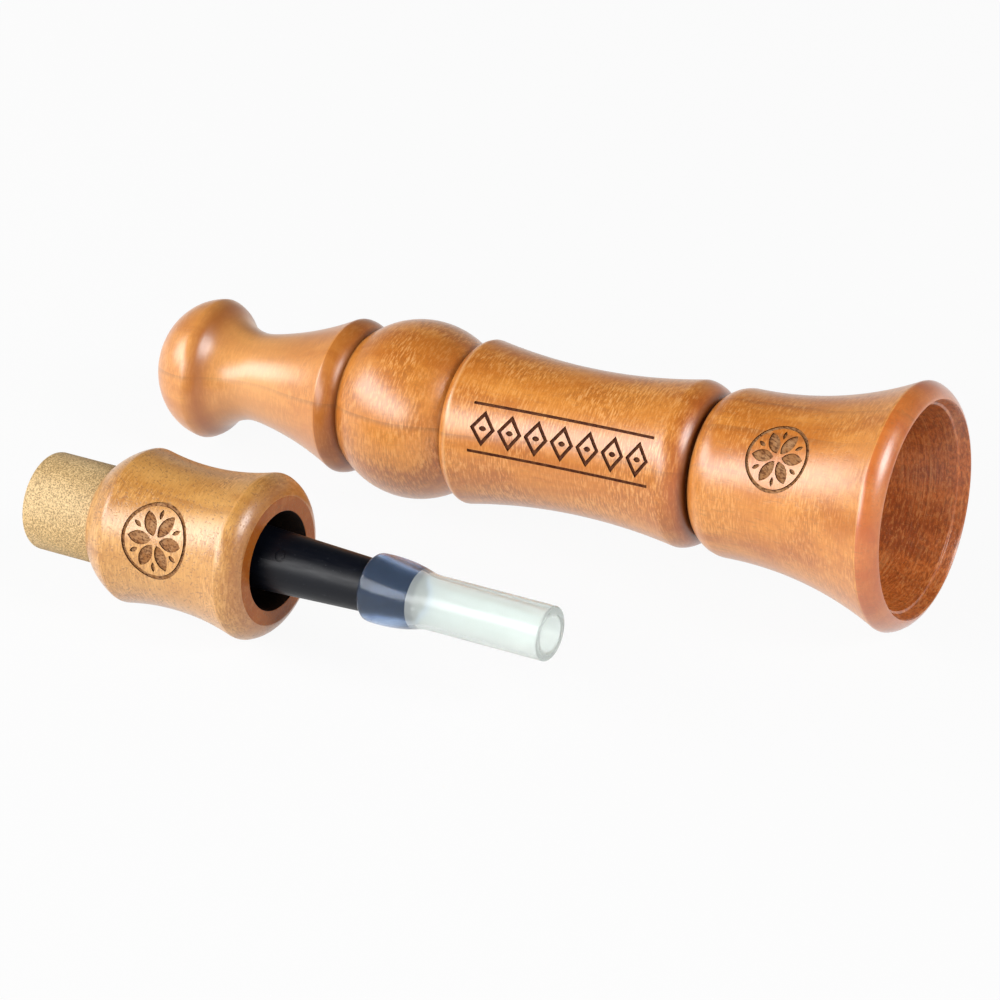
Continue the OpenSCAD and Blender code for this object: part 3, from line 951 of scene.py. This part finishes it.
class PREDATOR_OT_call_body(bpy.types.Operator):
    """Turns the knob, neck, ball and barrel in one piece and carves the band"""
    bl_idname = "predator_call.call_body"
    bl_label = "Call body"

    def execute(self, context):
        sizes = context.scene.predator_call.call_body
        colours = context.scene.predator_call.colours
        air = sizes.air_diameter / 2
        ridge = (sizes.knob_diameter / 2, sizes.knob_length)
        knob_back = (ridge[0] - KNOB_BACK_DEPTH, ridge[1] + KNOB_BACK_LENGTH)
        neck = (sizes.neck_diameter / 2, sizes.neck_place)
        cone = (sizes.cone_diameter / 2, sizes.cone_place)
        globe = sizes.ball_diameter / 2
        groove = sizes.groove_diameter / 2
        reach = math.sqrt(globe ** 2 - groove ** 2)
        groove_1 = (groove, sizes.ball_place - reach)
        groove_2 = (groove, sizes.ball_place + reach)
        edge_1 = (sizes.barrel_diameter / 2, sizes.barrel_place)
        edge_2 = (sizes.barrel_diameter / 2, sizes.barrel_place + sizes.barrel_length)
        end = edge_2[1] + sizes.barrel_end
        face = (sizes.face_diameter / 2, end)
        socket = sizes.socket_diameter / 2
        mouth = (socket + CHAMFER, end)
        chamber = sizes.chamber_diameter / 2
        chamber_place = sizes.barrel_place + CHAMBER_OFFSET
        tip = dome(air + CHAMFER, *ridge, fullness=KNOB_FULLNESS)
        barrel = bow(edge_1, edge_2, (sizes.waist_diameter - sizes.barrel_diameter) / 2)
        outline = (
            tip
            + bow(ridge, knob_back, KNOB_BACK_RISE)
            + bow(knob_back, neck, -NECK_HOLLOW)
            + bow(neck, cone, -CONE_HOLLOW)
            + bow(cone, groove_1, SHOULDER_RISE)
            + ball(globe, sizes.ball_place, groove)
            + bow(groove_2, edge_1, SHOULDER_RISE)
            + barrel
            + bow(edge_2, face, SHOULDER_RISE)
            + straight(face, mouth)
            + [
                mouth,
                (socket, end - CHAMFER),
                (socket, sizes.socket_place),
                (chamber, sizes.socket_place),
                (chamber, chamber_place),
                (air, chamber_place - chamber + air),
                (air, 2 * CHAMFER),
            ]
        )
        sanded = [
            (6, [knob_back, neck]),
            (1, [ridge, cone, edge_1, edge_2, face]),
        ]
        piece = turn_piece("call_body_turned", CALL, outline, sanded, [(MOUTH_EASING, [tip[0]])])
        # Painted shade in the two grooves beside the ball
        grooves = [(place, 0.9 * MM, 0.5, colours.groove) for _, place in (groove_1, groove_2)]
        creases = grooves + [
            # Darker end grain and painted shade over the barrel's end, which turns away from the key light
            (end, sizes.barrel_end + 0.5 * MM, 0.55, colours.end_grain_and_shade),
            # Painted shade in the gap where the barrel's end face meets the bell
            (end, 1.2 * MM, 0.7, colours.groove),
            # Painted light over the knob and the neck
            (neck[1], neck[1], 0.45, colours.painted_highlight),
            # Painted shade on the back of the knob, which faces away from the key light
            (ridge[1] + 2.2 * MM, 2.3 * MM, 0.75, colours.shoulder_painted_shade_deep),
            # Painted highlight along the barrel's first edge
            (edge_1[1], 0.45 * MM, 0.5, colours.painted_highlight),
        ]
        grain = {"Line Turn": LINE_IN_FRONT, "Line Reach": 5 * MM, "Line Strength": 0.4,
                 "Pore Turn": ALONG_AXIS, "Pore Strength": 0.15}
        flecks = (sizes.cone_place + FLECK_BLEND, 0.25, 0.5)
        cherry = oiled_wood(
            "cherry_wood", CALL, colours.cherry_pale, colours.cherry_deep, grain, flecks, creases)
        bore = bare_wood("cherry_bore", CALL, colours.hollow_pale, colours.hollow_deep)
        # A darker, duller copy of the wood, as painted shade on the cone's shoulder, which faces away from
        # the key light
        shoulder = oiled_wood(
            "cherry_shoulder_painted_shade", CALL, colours.shoulder_painted_shade_pale, colours.shoulder_painted_shade_deep, grain,
            (groove_1[1], 0.12, 0.12), grooves[:1], coat=0.4, gloss=0.5)

        def zone(radius, place, outwards):
            in_socket = place > sizes.socket_place - TOUCH and radius < socket + TOUCH
            faces_in = outwards < -0.3
            if in_socket or faces_in:
                return bore
            # The cone's shoulder takes the painted-shade copy of the wood
            return shoulder if cone[1] < place < groove_1[1] and radius > groove else cherry

        give_finishes(piece, CALL, [cherry, bore, shoulder], zone)
        charred = charred_wood(colours)
        engrave(piece, CALL, band_cutters(sizes.band_length, sizes.band_height),
                CALL.seat(sizes.waist_diameter / 2, sizes.band_place, sizes.band_turn), core_of(barrel),
                charred, charred)
        set_in_frame(piece, "body", "call_body")
        return {"FINISHED"}


LIP_WIDTH = 0.8 * MM
LIP_DEPTH = 1.8 * MM
LIP_STEP = 0.4 * MM
LIP_FALL = 0.1 * MM
LIP_EASING = 0.08 * MM
FLARE_HOLLOW = 1.9 * MM
BELL_ROSETTE_RADIUS = 15 * MM


class PREDATOR_OT_bell(bpy.types.Operator):
    """Turns the flared bell with its tenon and carves the rosette"""
    bl_idname = "predator_call.bell"
    bl_label = "Bell"

    def execute(self, context):
        sizes = context.scene.predator_call.bell
        colours = context.scene.predator_call.colours
        tenon = sizes.tenon_diameter / 2
        tenon_place = sizes.face_place - sizes.tenon_length
        seat = sizes.seat_diameter / 2
        face = (sizes.face_diameter / 2, sizes.face_place)
        shoulder = (sizes.shoulder_diameter / 2, sizes.face_place + sizes.shoulder_length)
        edge = (sizes.edge_diameter / 2, sizes.mouth_place - sizes.rim_length)
        crest = (sizes.mouth_diameter / 2, sizes.mouth_place)
        lip = (crest[0] - LIP_WIDTH, crest[1] - LIP_DEPTH)
        step = (lip[0] - LIP_STEP, lip[1] - LIP_FALL)
        floor = (sizes.floor_diameter / 2, sizes.mouth_place - sizes.hollow_depth)
        flare = bow(shoulder, edge, -FLARE_HOLLOW)
        outline = (
            [
                (seat, tenon_place),
                (tenon - CHAMFER, tenon_place),
                (tenon, tenon_place + CHAMFER),
            ]
            + straight((tenon, sizes.face_place), face)
            + bow(face, shoulder, SHOULDER_RISE)
            + flare
            + bow(edge, crest, SHOULDER_RISE)
            + straight(crest, lip)
            + [lip]
            + straight(step, floor)
            + [floor, (seat, floor[1])]
        )
        sanded = [(4, [shoulder]), (2, [face]), (1, [edge, crest])]
        piece = turn_piece("bell_turned", CALL, outline, sanded, [(LIP_EASING, [lip, step])])
        creases = [
            # Painted shade at the shoulder's face, in the joint with the barrel
            (sizes.face_place, 1.1 * MM, 0.6, colours.groove),
            # Painted highlight along the bell's edge
            (edge[1], 0.28 * MM, 0.3, colours.painted_highlight),
        ]
        grain = {"Line Turn": LINE_ON_TOP, "Line Reach": 9 * MM, "Line Strength": 0.5,
                 "Pore Turn": ALONG_AXIS, "Pore Strength": 0.25}
        flecks = (sizes.face_place, 0.35, 0.35)
        cherry = oiled_wood(
            "cherry_bell", CALL, colours.cherry_pale, colours.cherry_deep, grain, flecks, creases)
        rim = oiled_wood(
            "cherry_rim", CALL, colours.rim_pale, colours.rim_deep, grain,
            (sizes.mouth_place, 0.1, 0.1), creases=[], coat=1.0)
        hollow = hollow_wood(colours, CALL)
        bare = bare_wood("bell_tenon", CALL, colours.bare_pale, colours.bare_deep)

        def zone(radius, place, outwards):
            on_tenon = radius < tenon + TOUCH and place < sizes.face_place
            if on_tenon or radius < seat + TOUCH:
                return bare
            faces_in = outwards < 0.1
            if faces_in and floor[1] - TOUCH < place and radius < crest[0]:
                return hollow
            return rim if place > edge[1] else cherry

        give_finishes(piece, CALL, [cherry, rim, hollow, bare], zone)
        engrave(piece, CALL, rosette_cutters(sizes.rosette_diameter),
                CALL.seat(BELL_ROSETTE_RADIUS, sizes.rosette_place, sizes.rosette_turn), core_of(flare),
                charred_wood(colours), scorched_wood(colours, CALL))
        set_in_frame(piece, "bell", "bell")
        return {"FINISHED"}


TENON_RISE = 0.2 * MM
EDGE_RISE = 0.35 * MM
RIM_RISE = 0.6 * MM
WAIST_HOLLOW = 1.4 * MM
RECESS_EASING = 0.12 * MM
HOLDER_ROSETTE_RADIUS = 12 * MM


class PREDATOR_OT_voice_holder(bpy.types.Operator):
    """Turns the holder of the second voice, with its bare tenon, and carves the rosette"""
    bl_idname = "predator_call.voice_holder"
    bl_label = "Voice holder"

    def execute(self, context):
        sizes = context.scene.predator_call.holder
        colours = context.scene.predator_call.colours
        tenon = sizes.tenon_diameter / 2
        seat = sizes.seat_diameter / 2
        step = (tenon + sizes.tenon_step, sizes.tenon_length)
        edge = (sizes.edge_diameter / 2, sizes.edge_place)
        rim = (sizes.rim_diameter / 2, sizes.rim_place)
        face = (sizes.face_diameter / 2, sizes.length)
        recess = sizes.recess_diameter / 2
        recess_edge = (recess, sizes.length)
        recess_floor = sizes.length - sizes.recess_depth
        waist = bow(edge, rim, -WAIST_HOLLOW)
        outline = (
            [(seat, 0)]
            + straight((tenon - 2 * CHAMFER, 0), (tenon - CHAMFER, 0))
            + bow((tenon - CHAMFER, 0), (tenon, CHAMFER), TENON_RISE)
            + [(tenon, CHAMFER), (tenon, sizes.tenon_length)]
            + bow(step, edge, EDGE_RISE)
            + waist
            + bow(rim, face, RIM_RISE)
            + straight(face, recess_edge)
            + [recess_edge, (recess, recess_floor), (seat, recess_floor)]
        )
        sanded = [(1, [edge, rim])]
        piece = turn_piece("voice_holder_turned", VOICE, outline, sanded, [(RECESS_EASING, [recess_edge])])
        creases = [
            # Darker end grain with painted shade at the step from the tenon
            (step[1], 1.0 * MM, 0.3, colours.end_grain_and_shade),
            (sizes.length, sizes.length - sizes.rim_place, 0.5, colours.ring_face),
            # Painted highlight along the rim's edge
            (rim[1], 0.3 * MM, 0.3, colours.painted_highlight),
        ]
        grain = {"Line Turn": LINE_ON_TOP, "Line Reach": 6 * MM, "Line Strength": 0.25,
                 "Pore Turn": SLANTWISE, "Pore Strength": 0.65}
        flecks = (sizes.edge_place, 0.5, 0.42)
        fruit = oiled_wood(
            "pale_wood", VOICE, colours.fruit_pale, colours.fruit_deep, grain, flecks, creases)
        bare = bare_wood("bare_tenon", VOICE, colours.bare_pale, colours.bare_deep)
        # Painted shade: the recess wall is painted near black, as it lies in shade
        dark = bare_wood("recess_painted_shade", VOICE, colours.recess, colours.recess)
        ring = oiled_wood(
            "ring_face_wood", VOICE, colours.ring_face, colours.shoulder_painted_shade_deep, grain,
            (sizes.length, 0.1, 0.1), creases=[], coat=0.0, gloss=0.25)

        def zone(radius, place, outwards):
            in_recess = radius < recess + TOUCH and place > recess_floor - TOUCH
            if in_recess or radius < seat + TOUCH:
                return dark
            if place > sizes.length - TOUCH:
                return ring
            return bare if radius < tenon + TOUCH and place < sizes.tenon_length else fruit

        give_finishes(piece, VOICE, [fruit, bare, dark, ring], zone)
        engrave(piece, VOICE, rosette_cutters(sizes.rosette_diameter),
                VOICE.seat(HOLDER_ROSETTE_RADIUS, sizes.rosette_place, sizes.rosette_turn), core_of(waist),
                charred_wood(colours), scorched_wood(colours, VOICE))
        set_in_frame(piece, "voice_head", "voice_holder")
        return {"FINISHED"}


TUBE_SEAT_GAP = 0.1 * MM
TUBE_EASING = 0.25 * MM
MARK_DEPTH = 0.12 * MM
MARK_CUTTER_HEIGHT = 2 * MM


def tube_outline(sizes, length, seat_place):
    """Outline of a reed tube, and the corners of it that are eased."""
    def radius_at(along):
        return (sizes.root_diameter - sizes.taper * along) / 2

    plug = sizes.plug_diameter / 2
    collar = sizes.collar_diameter / 2
    hole = sizes.reed_hole_diameter / 2
    outlet = sizes.outlet_diameter / 2
    plug_end = (plug, -sizes.plug_length)
    collar_edge = (collar, sizes.collar_length)
    root = (radius_at(sizes.collar_length), sizes.collar_length)
    tip = (radius_at(length), length)
    points = (
        [(hole, -sizes.plug_length), plug_end, (plug, TUBE_SEAT_GAP), (collar, TUBE_SEAT_GAP), collar_edge]
        + [root, tip, (outlet, length), (outlet, 0), (hole, 0)]
    )
    corners = [plug_end, collar_edge, root, tip, (outlet, length)]

    def placed(pairs):
        return [(r, along + seat_place) for r, along in pairs]

    return placed(points), placed(corners)


class PREDATOR_OT_reed_tubes(bpy.types.Operator):
    """Moulds the two tapered reed tubes, the voice head's with its round mark"""
    bl_idname = "predator_call.reed_tubes"
    bl_label = "Reed tubes"

    def execute(self, context):
        settings = context.scene.predator_call
        sizes = settings.tubes
        bell_seat = settings.bell.mouth_place - settings.bell.hollow_depth
        voice_seat = settings.holder.length - settings.holder.recess_depth
        black = black_plastic(settings.colours)
        tubes = [
            ("bell_reed_tube", "bell_voice", CALL, sizes.bell_length, bell_seat),
            ("voice_reed_tube", "voice", VOICE, sizes.voice_length, voice_seat),
        ]
        for node, body, lathe, length, seat_place in tubes:
            outline, corners = tube_outline(sizes, length, seat_place)
            piece = turn_piece(node + "_moulded", lathe, outline, eased=[(TUBE_EASING, corners)])
            piece.data.materials.append(black)
            if body == "voice":
                self.press_mark(piece, sizes, voice_seat, black)
            set_in_frame(piece, body, node)
        return {"FINISHED"}

    def press_mark(self, piece, sizes, seat_place, black):
        """Shallow ring, pressed into the tube by its mould."""
        radius = (sizes.root_diameter - sizes.taper * sizes.mark_place) / 2
        place = seat_place + sizes.mark_place
        half = sizes.mark_diameter / 2
        ring = ring_cutter("mark", 24, half, width=0.4 * half, height=MARK_CUTTER_HEIGHT)
        sunk = radius - MARK_DEPTH
        floor = straight((sunk, place - 2 * half), (sunk, place + 2 * half))
        core = floor + [(MM, floor[-1][1]), (MM, floor[0][1])]
        engrave(piece, VOICE, [ring], VOICE.seat(radius, place, sizes.mark_turn), core, black, black)


SLEEVE_ROOM = 0.04 * MM
SLEEVE_EDGE = 0.4 * MM
SLEEVE_TURN_BACK = 0.3 * MM
SLEEVE_SWELL = 0.3 * MM
SLEEVE_HOLLOW = 0.2 * MM
SLEEVE_EASING = 0.25 * MM


class PREDATOR_OT_tuning_sleeve(bpy.types.Operator):
    """Draws the soft sleeve, stretched over the tube's end and necking down to its relaxed size"""
    bl_idname = "predator_call.tuning_sleeve"
    bl_label = "Tuning sleeve"

    def execute(self, context):
        settings = context.scene.predator_call
        sizes = settings.sleeve
        tubes = settings.tubes
        colours = settings.colours
        tube_end = settings.holder.length - settings.holder.recess_depth + tubes.voice_length
        start = tube_end - sizes.lap
        end = start + sizes.length
        tip = (tubes.root_diameter - tubes.taper * tubes.voice_length) / 2 + SLEEVE_ROOM
        first = tip + tubes.taper * sizes.lap / 2
        swell = (sizes.stretch_diameter / 2, start + SLEEVE_EDGE)
        turning = ((sizes.stretch_diameter + sizes.diameter) / 4, tube_end - SLEEVE_TURN_BACK)
        slack = (sizes.diameter / 2, tube_end + sizes.slack_place)
        outer_end = (slack[0], end)
        bore_end = (sizes.bore_diameter / 2, end)
        bore_start = (bore_end[0], slack[1])
        front = (swell[0] - SLEEVE_EDGE, start)
        tube_lip = (tip, tube_end + SLEEVE_EDGE)
        outline = (
            [(first, start)]
            + straight(front, swell)
            + bow(swell, turning, SLEEVE_SWELL)
            + bow(turning, slack, -SLEEVE_HOLLOW)
            + straight(slack, outer_end)
            + [outer_end, bore_end]
            + straight(bore_start, tube_lip)
            + [tube_lip, (tip, tube_end)]
        )
        sanded = [(2, [swell]), (8, [turning, slack])]
        eased = [(SLEEVE_EASING, [outer_end, bore_end])]
        piece = turn_piece("tuning_sleeve_soft", VOICE, outline, sanded, eased)
        clear = silicone(
            "clear_silicone", VOICE, CLEAR_SILICONE, CLEAR_CLOUD,
            transmission=0.96, smooth=0.16, rough=0.22, gloss=0.4)
        milky = silicone(
            "milky_silicone", VOICE, colours.silicone, MILKY_CLOUD,
            transmission=0.73, smooth=0.15, rough=0.20, gloss=0.2)

        def zone(radius, place, outwards):
            return milky if place > tube_end else clear

        give_finishes(piece, VOICE, [clear, milky], zone)
        set_in_frame(piece, "sleeve", "tuning_sleeve")
        return {"FINISHED"}


class PREDATOR_OT_reed_parts(bpy.types.Operator):
    """Gives the tone boards, reeds and wedges their finishes"""
    bl_idname = "predator_call.reed_parts"
    bl_label = "Boards, reeds and wedges"

    def execute(self, context):
        colours = context.scene.predator_call.colours
        finishes = {
            "tone_board": board_plastic(colours),
            "reed": rolled_brass(colours),
            "reed_wedge": cut_cork(colours),
        }
        for unit in ("bell", "voice"):
            for part, finish in finishes.items():
                materials = frame["nodes"][f"{unit}_{part}"].data.materials
                materials.clear()
                materials.append(finish)
        return {"FINISHED"}


CAMERA_AIM = Vector((10.99, -8.9, 22.55)) * MM
FLOOR_GLOW = 0.94
WALL_TOP = 0.05
CEILING_EDGE = 0.65


class PREDATOR_OT_stage(bpy.types.Operator):
    """Sets the camera, the lights and the pale floor"""
    bl_idname = "predator_call.stage"
    bl_label = "Stage"

    def execute(self, context):
        scene = context.scene
        settings = scene.predator_call.stage
        self.set_camera(scene, settings)
        self.set_floor(scene.predator_call.colours)
        self.set_studio(scene, settings)
        self.set_lamp(
            scene, "front_light", settings.key, sides=(1.7, 0.45), distance=0.95, azimuth=-36, elevation=27)
        self.set_lamp(
            scene, "right_light", settings.side, sides=(0.3, 0.3), distance=0.80, azimuth=84, elevation=38)
        scene.view_settings.view_transform = "Standard"
        return {"FINISHED"}

    @staticmethod
    def back(azimuth, elevation):
        """The way from the object to where a camera or a lamp stands."""
        level = math.cos(elevation)
        return Vector((math.sin(azimuth) * level, -math.cos(azimuth) * level, math.sin(elevation)))

    def set_camera(self, scene, settings):
        back = self.back(settings.azimuth, settings.elevation)
        data = bpy.data.cameras.new("camera")
        data.lens = settings.lens
        data.clip_start = 0.05
        camera = bpy.data.objects.new("camera", data)
        camera.location = CAMERA_AIM + back * settings.distance
        camera.rotation_euler = (-back).to_track_quat("-Z", "Y").to_euler()
        scene.collection.objects.link(camera)
        scene.camera = camera

    def set_lamp(self, scene, name, power, sides, distance, azimuth, elevation):
        back = self.back(math.radians(azimuth), math.radians(elevation))
        data = bpy.data.lights.new(name, "AREA")
        data.shape = "RECTANGLE"
        data.size, data.size_y = sides
        data.energy = power
        lamp = bpy.data.objects.new(name, data)
        lamp.location = back * distance
        lamp.rotation_euler = (-back).to_track_quat("-Z", "Y").to_euler()
        scene.collection.objects.link(lamp)

    def set_floor(self, colours):
        """Pale floor that shows white, and still takes the object's shadow."""
        bpy.ops.object.select_all(action="DESELECT")
        bpy.ops.mesh.primitive_plane_add(size=24)
        floor = bpy.context.object
        floor.name = "floor"
        material, tree, shader = new_material("pale_floor")
        cloud = noise(tree, object_coordinates(tree), (3, 3, 3))
        colour = mix(tree, remap(tree, cloud, 0.3, 0.7, to_high=0.3), solid(colours.table), PALE_FLOOR)
        fill_inputs(tree, shader, {"Base Color": colour, "Roughness": 0.9, "Specular IOR Level": 0.0})
        rays = add_node(tree, "ShaderNodeLightPath").outputs
        seen = arithmetic(tree, "MAXIMUM", rays["Is Camera Ray"], rays["Is Transmission Ray"])
        seen = arithmetic(tree, "MAXIMUM", seen, rays["Is Glossy Ray"])
        glow = product(tree, seen, FLOOR_GLOW)
        white = add_node(tree, "ShaderNodeEmission", {"Color": WHITE, "Strength": 1.0}).outputs[0]
        lifted = add_node(tree, "ShaderNodeMixShader", {0: glow, 1: shader.outputs[0], 2: white})
        fill_inputs(tree, tree.nodes["Material Output"], {"Surface": lifted.outputs[0]})
        floor.data.materials.append(material)

    def set_studio(self, scene, settings):
        """Light from all round, bright at the horizon and dim from above."""
        world = bpy.data.worlds.new("studio")
        scene.world = world
        world.use_nodes = True
        tree = world.node_tree
        way = add_node(tree, "ShaderNodeTexCoord").outputs["Generated"]
        height = add_node(tree, "ShaderNodeSeparateXYZ", {0: way}).outputs["Z"]
        strength = remap(tree, height, WALL_TOP, CEILING_EDGE, settings.horizon, settings.ceiling)
        rays = add_node(tree, "ShaderNodeLightPath").outputs
        strength = arithmetic(tree, "MAXIMUM", strength, rays["Is Transmission Ray"])
        fill_inputs(tree, tree.nodes["Background"], {"Color": STUDIO_LIGHT, "Strength": strength})


STEPS = ("stage", "call_body", "bell", "voice_holder", "reed_tubes", "tuning_sleeve", "reed_parts")


class PREDATOR_PT_panel(bpy.types.Panel):
    """Lists the steps that build the call"""
    bl_idname = "PREDATOR_PT_panel"
    bl_label = "Predator call"
    bl_space_type = "VIEW_3D"
    bl_region_type = "UI"
    bl_category = "Predator call"

    def draw(self, context):
        for step in STEPS:
            self.layout.operator(f"predator_call.{step}")


CLASSES = (
    CallBodySizes,
    BellSizes,
    HolderSizes,
    ReedTubeSizes,
    SleeveSizes,
    FinishColours,
    StageSettings,
    PredatorCallSettings,
    PREDATOR_OT_stage,
    PREDATOR_OT_call_body,
    PREDATOR_OT_bell,
    PREDATOR_OT_voice_holder,
    PREDATOR_OT_reed_tubes,
    PREDATOR_OT_tuning_sleeve,
    PREDATOR_OT_reed_parts,
    PREDATOR_PT_panel,
)


def register():
    for cls in CLASSES:
        bpy.utils.register_class(cls)
    bpy.types.Scene.predator_call = PointerProperty(type=PredatorCallSettings)


def unregister():
    del bpy.types.Scene.predator_call
    for cls in reversed(CLASSES):
        bpy.utils.unregister_class(cls)


def main():
    register()
    for step in STEPS:
        getattr(bpy.ops.predator_call, step)()


if __name__ == "__main__":
    main()
